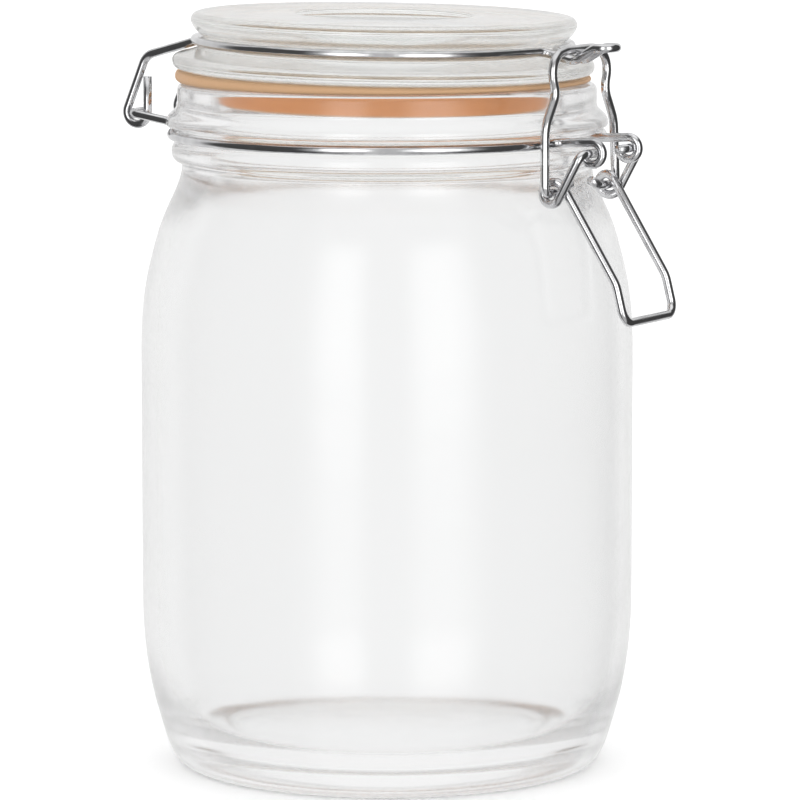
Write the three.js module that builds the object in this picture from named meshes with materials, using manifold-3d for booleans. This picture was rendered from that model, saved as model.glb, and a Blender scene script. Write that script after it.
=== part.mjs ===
// A one litre clip top storage jar: a round glass jar with a beaded neck, a glass lid on a rubber seal,
// and a bright wire bail clip. Millimetres, +Z up, origin at the middle of the base.
// The clip is at the front (-Y), the hinge at the back (+Y), and the whole is symmetric about X = 0.
import * as THREE from 'three';
import { mergeVertices } from 'three/addons/utils/BufferGeometryUtils.js';
import Module from 'manifold-3d';

// Jar
const BODY_RADIUS = 55;
const FOOT_RADIUS = 44.5;
const FOOT_ROUND = 4;
const HEEL_RADIUS = 51.5;
const HEEL_HEIGHT = 11.9;
const HEEL_PULL = 6.5;
const HEEL_LEAN = 1.95;
const BODY_STRAIGHT_FROM = 39.5;
const BODY_STRAIGHT_TO = 93;
const BODY_PULL = 12.5;
const SHOULDER_RADIUS = 51.5;
const SHOULDER_HEIGHT = 118.4;
const SHOULDER_PULL = 7.5;
const SHOULDER_LEAN = 2;
const SHOULDER_TOP_RADIUS = 45.6;
const SHOULDER_TOP = 135.3;
const SHOULDER_TOP_PULL = 5;
const WALL = 3.2;
const BASE_THICKNESS = 5.5;
const FLOOR_RADIUS = 33;
const INNER_HEEL_RADIUS = 49.5;
const LOWER_BEAD_RADIUS = 48;
const LOWER_BEAD_HEIGHT = 137.8;
const GROOVE_RADIUS = 46.4;
const GROOVE_FROM = 140.1;
const GROOVE_TO = 143.4;
const UPPER_BEAD_RADIUS = 49.2;
const UPPER_BEAD_ROUND = 0.6;
const UPPER_BEAD_HEIGHT = 144.4;
const NECK_RADIUS = 46.7;
const NECK_FROM = 148.6;
const NECK_BLEND = 2;
const MOUTH_RADIUS = 39.4;
const RIM_HEIGHT = 152.8;
const RIM_ROUND = 1;

// Lid and seal: the shut lid sits a little back from the jar's axis and leans towards the clip
const LID_SHIFT = 1;
const LID_TILT = THREE.MathUtils.degToRad(1.1);
const FLANGE_RADIUS = 47;
const FLANGE_BOTTOM = 155.5;
const FLANGE_EDGE_HEIGHT = 157.3;
const FLANGE_TOP = 160.1;
const FLANGE_SLOPE = 1.3;
const FLANGE_ROUND = 2;
const LID_CHAMFER = 0.8;
const LID_GROOVE_RADIUS = 40.2;
const LID_GROOVE_HEIGHT = 161.9;
const LID_GROOVE_WIDTH = 2;
const LID_DISC_RADIUS = 43;
const LID_DISC_EDGE_HEIGHT = 166.2;
const LID_DISC_ROUND = 2.2;
const LID_TOP = 168.1;
const LID_DISH_RADIUS = 19.6;
const LID_DISH_DEPTH = 0.7;
const PLUG_RADIUS = 34.5;
const PLUG_BOTTOM = 150.2;
const PLUG_CHAMFER = 1.2;
const FIT_GAP = 0.3;
const SEAL_RADIUS = 46.3;
const SEAL_BULGE = 0.75;
const SEAL_LIP_RADIUS = 37.8;
const SEAL_LIP_TIP_RADIUS = 36.8;
const SEAL_LIP_BOTTOM = 147.7;

// Wires: a Vector2 is a distance out from the jar's axis and a height,
// and a SIDE is a distance from the middle plane
const NECK_WIRE = 2;
const CLIP_WIRE = 2;
const NECK_RING_RADIUS = 48;
const NECK_RING_HEIGHT = 141.5;
const EYE_SIDE = 8.4;
const EYE_RADIUS = 2.4;
const EYE = new THREE.Vector2(56.3, 139.9);
const EYE_LEG_DROP = 0.5;
const EYE_LEG_BEND = 3;
const LEVER_PIVOT = new THREE.Vector2(56.3, 139.9);
const LEVER_PIN_TIP = 3.6;
const LEVER_ARM_SIDE = 14.1;
const LEVER_PIN_BEND = 2;
const LINK_PIVOT = new THREE.Vector2(48.9, 131.3);
const COIL_RADIUS = 2.35;
const HANDLE_SIDE = 11.7;
const HANDLE_KNEE = new THREE.Vector2(63.9, 112);
const HANDLE_KNEE_BEND = 8;
const HANDLE_END = new THREE.Vector2(66, 103.7);
const HANDLE_END_BEND = 3.2;
const LINK_TOP = new THREE.Vector2(48.5, 160.2);
const LINK_TOP_SIDE = 14.3;
const LINK_TOP_BEND = 4.5;
const LINK_ARCH_SIDE = 6;
const LINK_ARCH_HEIGHT = 161.8;
const LINK_ARCH_BEND = 8;
const LINK_WAIST = new THREE.Vector2(48.8, 152.6);
const LINK_WAIST_SIDE = 11.1;
const LINK_WAIST_BEND = 4;
const LINK_BULGE = new THREE.Vector2(48.6, 145.5);
const LINK_BULGE_SIDE = 15.9;
const LINK_BULGE_BEND = 7;
const LINK_FOOT_SIDE = 16.4;
const LINK_FOOT_BEND = 1.8;
const LINK_PIN_KINK = 9.4;
const LINK_PIN_TIP = 4.8;
const LINK_PIN_RISE = 1.4;
const TONGUE_SIDE = 2.5;
const TONGUE_BEND = 2.5;
const TONGUE_TIP_BEND = 2.4;
const TONGUE_DIP = new THREE.Vector2(48.5, 159.25);
const TONGUE_RISE = new THREE.Vector2(53.5, 162.2);
const TONGUE_TIP = new THREE.Vector2(57.3, 162.3);
const LID_RING_RADIUS = 41.8;
const HINGE = new THREE.Vector2(59.2, 144.8);
const HINGE_HOOK_RADIUS = 2.75;
const HINGE_HOOK_SIDE = 10.6;
const HINGE_ARM_SIDE = 13.4;
const HINGE_KNEE = new THREE.Vector2(49.4, 143.3);
const HINGE_KNEE_BEND = 2;
const HINGE_PIN_TIP = 7.6;
const HINGE_PIN_BEND = 2;
const HINGE_BEND = new THREE.Vector2(56.8, 157.7);
const HINGE_BEND_RADIUS = 4;
const LID_ARM_DROP = 0.8;
const HINGE_STUB_TIP = new THREE.Vector2(56.4, 152.9);
const RING_END_BEND = 3;
const RING_END_ANGLE = 0.14;

// Facets
const ROUND_FACETS = 36;
const CURVE_FACETS = 3;
const WIRE_FACETS = 8;
const RING_STEP = THREE.MathUtils.degToRad(8);
const BEND_STEP = THREE.MathUtils.degToRad(30);
const FEWEST_BEND_STEPS = 2;

const STRAIGHT = 0.01;
const WELD = 1e-4;
const QUARTER = Math.PI / 2;
const FULL = Math.PI * 2;

// A solid of revolution about the Z axis from a path of radius and height.
function turned(path) {
  const geometry = new THREE.LatheGeometry(path.getPoints(CURVE_FACETS), ROUND_FACETS);
  return geometry.rotateX(QUARTER);
}

function jarGeometry() {
  const path = new THREE.Path();
  const inner = BODY_RADIUS - WALL;
  const innerShoulder = SHOULDER_RADIUS - WALL;
  path.moveTo(0, 0);
  path.lineTo(FOOT_RADIUS, 0);
  path.bezierCurveTo(FOOT_RADIUS + FOOT_ROUND, 0, HEEL_RADIUS - HEEL_LEAN, HEEL_HEIGHT - HEEL_PULL,
    HEEL_RADIUS, HEEL_HEIGHT);
  path.bezierCurveTo(HEEL_RADIUS + HEEL_LEAN, HEEL_HEIGHT + HEEL_PULL,
    BODY_RADIUS, BODY_STRAIGHT_FROM - BODY_PULL, BODY_RADIUS, BODY_STRAIGHT_FROM);
  path.lineTo(BODY_RADIUS, BODY_STRAIGHT_TO);
  path.bezierCurveTo(BODY_RADIUS, BODY_STRAIGHT_TO + BODY_PULL, SHOULDER_RADIUS + SHOULDER_LEAN,
    SHOULDER_HEIGHT - SHOULDER_PULL, SHOULDER_RADIUS, SHOULDER_HEIGHT);
  path.bezierCurveTo(SHOULDER_RADIUS - SHOULDER_LEAN, SHOULDER_HEIGHT + SHOULDER_PULL, SHOULDER_TOP_RADIUS,
    SHOULDER_TOP - SHOULDER_TOP_PULL, SHOULDER_TOP_RADIUS, SHOULDER_TOP);
  path.quadraticCurveTo(LOWER_BEAD_RADIUS, SHOULDER_TOP, LOWER_BEAD_RADIUS, LOWER_BEAD_HEIGHT);
  path.quadraticCurveTo(LOWER_BEAD_RADIUS, GROOVE_FROM, GROOVE_RADIUS, GROOVE_FROM);
  path.lineTo(GROOVE_RADIUS, GROOVE_TO);
  path.lineTo(UPPER_BEAD_RADIUS - UPPER_BEAD_ROUND, GROOVE_TO);
  path.quadraticCurveTo(UPPER_BEAD_RADIUS, GROOVE_TO, UPPER_BEAD_RADIUS, GROOVE_TO + UPPER_BEAD_ROUND);
  path.lineTo(UPPER_BEAD_RADIUS, UPPER_BEAD_HEIGHT);
  path.bezierCurveTo(UPPER_BEAD_RADIUS, UPPER_BEAD_HEIGHT + NECK_BLEND, NECK_RADIUS, NECK_FROM - NECK_BLEND,
    NECK_RADIUS, NECK_FROM);
  path.lineTo(NECK_RADIUS, RIM_HEIGHT - RIM_ROUND);
  path.quadraticCurveTo(NECK_RADIUS, RIM_HEIGHT, NECK_RADIUS - RIM_ROUND, RIM_HEIGHT);
  path.lineTo(MOUTH_RADIUS + RIM_ROUND, RIM_HEIGHT);
  path.quadraticCurveTo(MOUTH_RADIUS, RIM_HEIGHT, MOUTH_RADIUS, RIM_HEIGHT - RIM_ROUND);
  path.lineTo(MOUTH_RADIUS, LOWER_BEAD_HEIGHT);
  path.bezierCurveTo(MOUTH_RADIUS, LOWER_BEAD_HEIGHT - SHOULDER_PULL, innerShoulder - SHOULDER_LEAN,
    SHOULDER_HEIGHT + SHOULDER_PULL, innerShoulder, SHOULDER_HEIGHT);
  path.bezierCurveTo(innerShoulder + SHOULDER_LEAN, SHOULDER_HEIGHT - SHOULDER_PULL, inner,
    BODY_STRAIGHT_TO + BODY_PULL, inner, BODY_STRAIGHT_TO);
  path.lineTo(inner, BODY_STRAIGHT_FROM);
  path.bezierCurveTo(inner, BODY_STRAIGHT_FROM / 2, INNER_HEEL_RADIUS, BASE_THICKNESS,
    FLOOR_RADIUS, BASE_THICKNESS);
  path.lineTo(0, BASE_THICKNESS);
  return turned(path);
}

function lidGeometry() {
  const path = new THREE.Path();
  const flangeEdge = FLANGE_TOP - FLANGE_SLOPE;
  const grooveFrom = LID_GROOVE_HEIGHT - LID_GROOVE_WIDTH / 2;
  const grooveTo = LID_GROOVE_HEIGHT + LID_GROOVE_WIDTH / 2;
  path.moveTo(0, PLUG_BOTTOM);
  path.lineTo(PLUG_RADIUS - PLUG_CHAMFER, PLUG_BOTTOM);
  path.lineTo(PLUG_RADIUS, PLUG_BOTTOM + PLUG_CHAMFER);
  path.lineTo(PLUG_RADIUS, FLANGE_BOTTOM);
  path.lineTo(FLANGE_RADIUS - LID_CHAMFER, FLANGE_BOTTOM);
  path.lineTo(FLANGE_RADIUS, FLANGE_EDGE_HEIGHT);
  path.quadraticCurveTo(FLANGE_RADIUS, flangeEdge, FLANGE_RADIUS - FLANGE_ROUND, flangeEdge);
  path.lineTo(LID_GROOVE_RADIUS + LID_CHAMFER, FLANGE_TOP);
  path.lineTo(LID_GROOVE_RADIUS, grooveFrom);
  path.lineTo(LID_GROOVE_RADIUS, grooveTo);
  path.quadraticCurveTo(LID_DISC_RADIUS - LID_CHAMFER, grooveTo + LID_CHAMFER,
    LID_DISC_RADIUS, LID_DISC_EDGE_HEIGHT);
  path.quadraticCurveTo(LID_DISC_RADIUS, LID_TOP, LID_DISC_RADIUS - LID_DISC_ROUND, LID_TOP);
  path.lineTo(LID_DISH_RADIUS, LID_TOP);
  path.lineTo(LID_DISH_RADIUS - LID_DISH_DEPTH, LID_TOP - LID_DISH_DEPTH);
  path.lineTo(0, LID_TOP - LID_DISH_DEPTH);
  return leaned(turned(path));
}

// Sets a lid piece back from the jar's axis, and leans it about its seat.
function leaned(geometry) {
  geometry.translate(0, 0, -RIM_HEIGHT).rotateX(LID_TILT);
  return geometry.translate(0, LID_SHIFT, RIM_HEIGHT);
}

// The seal lies flat on the rim, and its top and its lip follow the leaning lid.
function sealGeometry() {
  const path = new THREE.Path();
  const bottom = RIM_HEIGHT + FIT_GAP;
  const top = FLANGE_BOTTOM - FIT_GAP;
  const bore = PLUG_RADIUS + FIT_GAP;
  path.moveTo(bore, SEAL_LIP_BOTTOM);
  path.lineTo(SEAL_LIP_TIP_RADIUS, SEAL_LIP_BOTTOM);
  path.lineTo(SEAL_LIP_RADIUS, bottom);
  path.lineTo(SEAL_RADIUS - SEAL_BULGE, bottom);
  path.quadraticCurveTo(SEAL_RADIUS + SEAL_BULGE, (bottom + top) / 2, SEAL_RADIUS - SEAL_BULGE, top);
  path.lineTo(bore, top);
  path.lineTo(bore, SEAL_LIP_BOTTOM);
  const geometry = turned(path);
  const place = geometry.getAttribute('position');
  for (let i = 0; i < place.count; i += 1) {
    const away = place.getZ(i) - bottom;
    const share = away / ((away > 0 ? top : SEAL_LIP_BOTTOM) - bottom);
    place.setZ(i, place.getZ(i) + share * Math.tan(LID_TILT) * place.getY(i));
  }
  return geometry.translate(0, LID_SHIFT, 0);
}

// A wire's centre line: straight steps between points, with each point's tangent halfway between them.
class WirePath extends THREE.Curve {
  constructor(points) {
    super();
    this.points = points;
  }

  getPoint(t, target = new THREE.Vector3()) {
    const place = t * (this.points.length - 1);
    const step = Math.min(Math.floor(place), this.points.length - 2);
    return target.lerpVectors(this.points[step], this.points[step + 1], place - step);
  }

  getTangent(t, target = new THREE.Vector3()) {
    const nearest = Math.round(t * (this.points.length - 1));
    const here = this.points[nearest];
    const before = this.points[nearest - 1] ?? here;
    const after = this.points[nearest + 1] ?? here;
    const arriving = here.clone().sub(before).normalize();
    return target.subVectors(after, here).normalize().add(arriving).normalize();
  }

  getUtoTmapping(u) {
    return u;
  }
}

function wireGeometry(points, diameter) {
  const corners = [];
  for (let i = 0; i < WIRE_FACETS; i += 1) {
    const angle = (i + 0.5) * FULL / WIRE_FACETS;
    corners.push(new THREE.Vector2(Math.cos(angle), Math.sin(angle)).multiplyScalar(diameter / 2));
  }
  return new THREE.ExtrudeGeometry(new THREE.Shape(corners), {
    steps: points.length - 1,
    bevelEnabled: false,
    extrudePath: new WirePath(points),
  });
}

// A corner of a wire, with the radius of the bend there.
function corner(x, y, z, bend = 0) {
  return { place: new THREE.Vector3(x, y, z), bend };
}

// Points along a wire that runs straight between corners and bends round at each.
function bentWire(corners) {
  const points = [corners[0].place];
  for (let i = 1; i < corners.length - 1; i += 1) {
    const { place, bend } = corners[i];
    const arriving = place.clone().sub(corners[i - 1].place).normalize();
    const leaving = corners[i + 1].place.clone().sub(place).normalize();
    const turn = arriving.angleTo(leaving);
    if (bend === 0 || turn < STRAIGHT) {
      points.push(place);
      continue;
    }
    const reach = bend * Math.tan(turn / 2);
    const start = place.clone().addScaledVector(arriving, -reach);
    const inward = leaving.clone().addScaledVector(arriving, -leaving.dot(arriving)).normalize();
    const steps = Math.max(FEWEST_BEND_STEPS, Math.ceil(turn / BEND_STEP));
    for (let step = 0; step <= steps; step += 1) {
      const angle = turn * step / steps;
      const point = start.clone().addScaledVector(arriving, bend * Math.sin(angle));
      points.push(point.addScaledVector(inward, bend * (1 - Math.cos(angle))));
    }
  }
  points.push(corners[corners.length - 1].place);
  return points;
}

// Corners along a level ring about (0, middle), from one bearing to another, measured from +X towards +Y.
function ringCorners(radius, middle, height, from, to) {
  const steps = Math.ceil(Math.abs(to - from) / RING_STEP);
  const corners = [];
  for (let step = 0; step <= steps; step += 1) {
    const angle = from + (to - from) * step / steps;
    const y = middle + radius * Math.sin(angle);
    corners.push(corner(radius * Math.cos(angle), y, height(y)));
  }
  return corners;
}

// Where a line from a point meets a circle as a tangent, on the side that turn, 1 or -1, gives.
function tangentAngle(centre, radius, point, turn) {
  const away = point.clone().sub(centre);
  return Math.atan2(away.y, away.x) + turn * Math.acos(radius / away.length());
}

// Corners round a loop whose axis lies along X, in a plane of depth (y = side * depth) and height.
function loopCorners(centre, radius, side, from, to, xFrom, xTo) {
  const steps = Math.ceil(Math.abs(to - from) / BEND_STEP);
  const corners = [];
  for (let step = 0; step <= steps; step += 1) {
    const angle = from + (to - from) * step / steps;
    const depth = centre.x + radius * Math.cos(angle);
    const x = xFrom + (xTo - xFrom) * step / steps;
    corners.push(corner(x, side * depth, centre.y + radius * Math.sin(angle)));
  }
  return corners;
}

// The whole of a symmetric wire from its right half, which runs up to the middle plane.
function mirrored(half) {
  const other = half.map(({ place, bend }) => corner(-place.x, place.y, place.z, bend));
  return [...half, ...other.reverse()];
}

const FRONT = -1;
const BACK = 1;

// Round the neck, open at the front where both ends turn out into eyes for the lever.
function neckRingCorners() {
  const legTop = EYE.y + EYE_RADIUS;
  const eye = loopCorners(EYE, EYE_RADIUS, FRONT, -QUARTER * 2, QUARTER, EYE_SIDE, EYE_SIDE);
  const turnIn = Math.asin(EYE_SIDE / NECK_RING_RADIUS);
  const ringY = -NECK_RING_RADIUS * Math.cos(turnIn);
  const leg = corner(EYE_SIDE, ringY, legTop - EYE_LEG_DROP, EYE_LEG_BEND);
  const ringFrom = turnIn - QUARTER + RING_END_ANGLE;
  const ring = ringCorners(NECK_RING_RADIUS, 0, () => NECK_RING_HEIGHT, ringFrom, QUARTER);
  return [...eye, leg, ...ring];
}

function neckWireGeometry() {
  const half = neckRingCorners();
  half.pop();
  const ring = wireGeometry(bentWire(mirrored(half)), NECK_WIRE);
  const rootY = Math.sqrt(NECK_RING_RADIUS ** 2 - HINGE_ARM_SIDE ** 2);
  const pins = [1, -1].map((side) => wireGeometry(bentWire([
    corner(side * HINGE_ARM_SIDE, rootY, NECK_RING_HEIGHT),
    corner(side * HINGE_ARM_SIDE, HINGE_KNEE.x, HINGE_KNEE.y, HINGE_KNEE_BEND),
    corner(side * HINGE_ARM_SIDE, HINGE.x, HINGE.y, HINGE_PIN_BEND),
    corner(side * HINGE_PIN_TIP, HINGE.x, HINGE.y),
  ]), NECK_WIRE));
  return joined([ring, ...pins]);
}

// Round the lid: a hook round each hinge pin, the ring in the lid's groove and a hairpin tongue in front.
function lidWireGeometry() {
  const height = (y) => LID_GROOVE_HEIGHT + Math.tan(LID_TILT) * (y - LID_SHIFT);
  const hookFrom = tangentAngle(HINGE, HINGE_HOOK_RADIUS, HINGE_STUB_TIP, 1);
  const hookTo = tangentAngle(HINGE, HINGE_HOOK_RADIUS, HINGE_BEND, -1) + FULL;
  const hook = loopCorners(HINGE, HINGE_HOOK_RADIUS, BACK, hookFrom, hookTo,
    HINGE_HOOK_SIDE, HINGE_HOOK_SIDE);
  const backTurn = Math.acos(HINGE_HOOK_SIDE / LID_RING_RADIUS);
  const frontTurn = -Math.acos(TONGUE_SIDE / LID_RING_RADIUS);
  const backY = LID_SHIFT + LID_RING_RADIUS * Math.sin(backTurn);
  const frontY = LID_SHIFT + LID_RING_RADIUS * Math.sin(frontTurn);
  const ringFrom = backTurn - RING_END_ANGLE;
  const ringTo = frontTurn + RING_END_ANGLE;
  const ring = ringCorners(LID_RING_RADIUS, LID_SHIFT, height, ringFrom, ringTo);
  return wireGeometry(bentWire(mirrored([
    corner(HINGE_HOOK_SIDE, HINGE_STUB_TIP.x, HINGE_STUB_TIP.y),
    ...hook,
    corner(HINGE_HOOK_SIDE, HINGE_BEND.x, HINGE_BEND.y, HINGE_BEND_RADIUS),
    corner(HINGE_HOOK_SIDE, backY, height(backY) - LID_ARM_DROP, RING_END_BEND),
    ...ring,
    corner(TONGUE_SIDE, frontY, height(frontY), TONGUE_BEND),
    corner(TONGUE_SIDE, -TONGUE_DIP.x, TONGUE_DIP.y, TONGUE_BEND),
    corner(TONGUE_SIDE, -TONGUE_RISE.x, TONGUE_RISE.y, TONGUE_BEND),
    corner(TONGUE_SIDE, -TONGUE_TIP.x, TONGUE_TIP.y, TONGUE_TIP_BEND),
  ])), CLIP_WIRE);
}

// The lever: pins through the neck eyes, a coil that holds the link on each side, and a looped handle.
function leverGeometry() {
  const coilFrom = tangentAngle(LINK_PIVOT, COIL_RADIUS, LEVER_PIVOT, -1);
  const coilTo = tangentAngle(LINK_PIVOT, COIL_RADIUS, HANDLE_KNEE, 1) - FULL;
  const coil = loopCorners(LINK_PIVOT, COIL_RADIUS, FRONT, coilFrom, coilTo, LEVER_ARM_SIDE, HANDLE_SIDE);
  return wireGeometry(bentWire(mirrored([
    corner(LEVER_PIN_TIP, -LEVER_PIVOT.x, LEVER_PIVOT.y),
    corner(LEVER_ARM_SIDE, -LEVER_PIVOT.x, LEVER_PIVOT.y, LEVER_PIN_BEND),
    ...coil,
    corner(HANDLE_SIDE, -HANDLE_KNEE.x, HANDLE_KNEE.y, HANDLE_KNEE_BEND),
    corner(HANDLE_SIDE, -HANDLE_END.x, HANDLE_END.y, HANDLE_END_BEND),
  ])), CLIP_WIRE);
}

// The link: a waisted yoke whose bar pulls the tongue down, and whose feet turn in through the lever's coils.
function linkGeometry() {
  return wireGeometry(bentWire(mirrored([
    corner(LINK_PIN_TIP, -LINK_PIVOT.x, LINK_PIVOT.y + LINK_PIN_RISE),
    corner(LINK_PIN_KINK, -LINK_PIVOT.x, LINK_PIVOT.y, LINK_FOOT_BEND),
    corner(LINK_FOOT_SIDE, -LINK_PIVOT.x, LINK_PIVOT.y, LINK_FOOT_BEND),
    corner(LINK_BULGE_SIDE, -LINK_BULGE.x, LINK_BULGE.y, LINK_BULGE_BEND),
    corner(LINK_WAIST_SIDE, -LINK_WAIST.x, LINK_WAIST.y, LINK_WAIST_BEND),
    corner(LINK_TOP_SIDE, -LINK_TOP.x, LINK_TOP.y, LINK_TOP_BEND),
    corner(LINK_ARCH_SIDE, -LINK_TOP.x, LINK_ARCH_HEIGHT, LINK_ARCH_BEND),
  ])), CLIP_WIRE);
}

const wasm = await Module();
wasm.setup();

function solidOf(geometry) {
  const bare = geometry.clone();
  bare.deleteAttribute('normal');
  bare.deleteAttribute('uv');
  const merged = mergeVertices(bare, WELD);
  return new wasm.Manifold(new wasm.Mesh({
    numProp: 3,
    vertProperties: new Float32Array(merged.getAttribute('position').array),
    triVerts: new Uint32Array(merged.index.array),
  }));
}

function joined(geometries) {
  const whole = geometries.map(solidOf).reduce((sum, solid) => sum.add(solid));
  const mesh = whole.getMesh();
  const geometry = new THREE.BufferGeometry();
  geometry.setAttribute('position', new THREE.BufferAttribute(mesh.vertProperties, 3));
  geometry.setIndex(new THREE.BufferAttribute(mesh.triVerts, 1));
  geometry.computeVertexNormals();
  return geometry;
}

const glass = new THREE.MeshStandardMaterial({ color: 0xeef2f2, roughness: 0.04, metalness: 0 });
const lidGlass = new THREE.MeshStandardMaterial({ color: 0xe6eaea, roughness: 0.05, metalness: 0 });
const rubber = new THREE.MeshStandardMaterial({ color: 0xd08a55, roughness: 0.65, metalness: 0 });
const steel = new THREE.MeshStandardMaterial({ color: 0xc8c8cb, roughness: 0.2, metalness: 1 });

function named(name, geometry, material) {
  const mesh = new THREE.Mesh(geometry, material);
  mesh.name = name;
  return mesh;
}

const jar = new THREE.Group();
jar.add(named('jar', jarGeometry(), glass));
jar.add(named('neck_wire', neckWireGeometry(), steel.clone()));

const lid = new THREE.Group();
lid.add(named('lid', lidGeometry(), lidGlass));
lid.add(named('seal', sealGeometry(), rubber));
lid.add(named('lid_wire', lidWireGeometry(), steel.clone()));

const clip = new THREE.Group();
clip.add(named('lever', leverGeometry(), steel.clone()));
clip.add(named('link', linkGeometry(), steel.clone()));

const clipTopJar = new THREE.Group();
clipTopJar.add(jar, lid, clip);

export default clipTopJar;
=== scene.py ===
"""Clip top jar: a glass jar with a glass lid on a rubber seal, held shut by a bright wire clip.

Laid out as an add-on: sizes and colours are in property groups, and each piece has an operator.
The frame is in metres, with the jar's axis along Z, the clip towards -Y and the hinge towards +Y.
"""
import math

import bmesh
import bpy
from bpy.props import FloatProperty, FloatVectorProperty, IntProperty, PointerProperty
from mathutils import Matrix, Vector
from mathutils.geometry import interpolate_bezier


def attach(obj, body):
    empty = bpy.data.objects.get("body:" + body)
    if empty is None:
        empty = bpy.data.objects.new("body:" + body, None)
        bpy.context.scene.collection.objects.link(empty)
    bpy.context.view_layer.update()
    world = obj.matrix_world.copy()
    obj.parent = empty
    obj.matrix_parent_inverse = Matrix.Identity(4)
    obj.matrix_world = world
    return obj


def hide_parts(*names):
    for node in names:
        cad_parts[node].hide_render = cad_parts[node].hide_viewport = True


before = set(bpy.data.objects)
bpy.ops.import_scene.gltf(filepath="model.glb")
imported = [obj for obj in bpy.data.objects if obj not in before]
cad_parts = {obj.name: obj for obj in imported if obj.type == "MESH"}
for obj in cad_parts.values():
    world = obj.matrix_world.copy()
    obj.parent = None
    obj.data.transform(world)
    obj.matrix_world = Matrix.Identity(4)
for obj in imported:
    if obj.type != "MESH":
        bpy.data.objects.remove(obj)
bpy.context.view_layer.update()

bl_info = {
    "name": "Clip top jar",
    "version": (1, 0, 0),
    "blender": (4, 5, 0),
    "location": "View3D > Sidebar > Clip jar",
    "description": "Builds a glass storage jar with a hinged lid, a rubber seal and a wire clip",
    "category": "Object",
}

FULL_TURN = math.tau
QUARTER = math.pi / 2
WELD_DISTANCE = 1e-6

# Which way along Y the front and the back lie
FRONT = -1
BACK = 1

# How far the handles of a rounded corner's curve reach towards the corner
ROUND_HANDLE = 0.6

# Wires: steps along bends and rings, the part of a ring left for its end bend, and the finish of cut ends
BEND_STEP = math.radians(10)
FEWEST_BEND_STEPS = 3
RING_STEP = math.radians(3)
RING_END_ANGLE = 0.14
STRAIGHT = 0.01
WIRE_ROUNDNESS = 6
CUT_ROUND = 0.00022
CUT_SEGMENTS = 3

# Marks on the seal's points, which its finish reads
SEAL_EDGE = "seal_edge"
SEAL_LIP = "seal_lip"

# Glass: how it bends light, and the depth and pattern of its moulded ripple
GLASS_IOR = 1.45
GLASS_BOUNCES = 128
RIPPLE_STRENGTH = 0.6
JAR_RIPPLE_DEPTH = 0.00012
JAR_RIPPLE = {"wave_scale": 55.0, "upright_stretch": 1.6, "haze": 0.11}
LID_RIPPLE_DEPTH = 0.0002
LID_RIPPLE = {"wave_scale": 70.0, "upright_stretch": 3.0, "haze": 0.13}
WAVE_DETAIL = 1.5

# Smears in the glass's polish: their pattern, the part of the noise that shows, and the roughness they add
SMEAR_SCALE = 25
SMEAR_DETAIL = 4
SMEAR_SHOWS = (0.5, 0.8)
SMEAR_ROUGHNESS = 0.035

# Cloudy patches and specks: their detail, and the part of the noise that is spread from 0 to 1
CLOUD_DETAIL = 3
SPECK_DETAIL = 5
SPECK_ROUGHNESS = 0.6
MOTTLE_SHOWS = (0.35, 0.65)

# Rubber and wire: scales of the patches and specks, range of roughness, and strength and depth of the bump
RUBBER_MOTTLE = {"cloud_scale": 140.0, "speck_scale": 1800.0}
RUBBER_CLOUDING = 0.25
RUBBER_ROUGHNESS = (0.5, 0.72)
RUBBER_GRAIN = (0.25, 0.0001)
WIRE_MOTTLE = {"cloud_scale": 220.0, "speck_scale": 2500.0}
WIRE_ROUGHNESS = (0.06, 0.2)
WIRE_MARKS = (0.08, 0.00005)

FLOOR_ROUGHNESS = 0.9
SENSOR_WIDTH = 36
NEAR_CLIP = 0.01


def length(name, description, millimetres):
    """A size that the panel shows in scene units."""
    return FloatProperty(
        name=name, description=description, default=millimetres / 1000,
        precision=5, subtype="DISTANCE", unit="LENGTH",
    )


def place(name, description, out, height):
    """A point as its distance out from the jar's axis and its height."""
    return FloatVectorProperty(
        name=name, description=description, default=(out / 1000, height / 1000),
        size=2, precision=5, subtype="XYZ", unit="LENGTH",
    )


def amount(name, description, default):
    """A strength or share that isn't below 0."""
    return FloatProperty(name=name, description=description, default=default, min=0)


def colour(name, description, red, green, blue):
    """A colour, in linear light."""
    return FloatVectorProperty(
        name=name, description=description, default=(red, green, blue),
        size=3, min=0, max=1, subtype="COLOR",
    )


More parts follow.
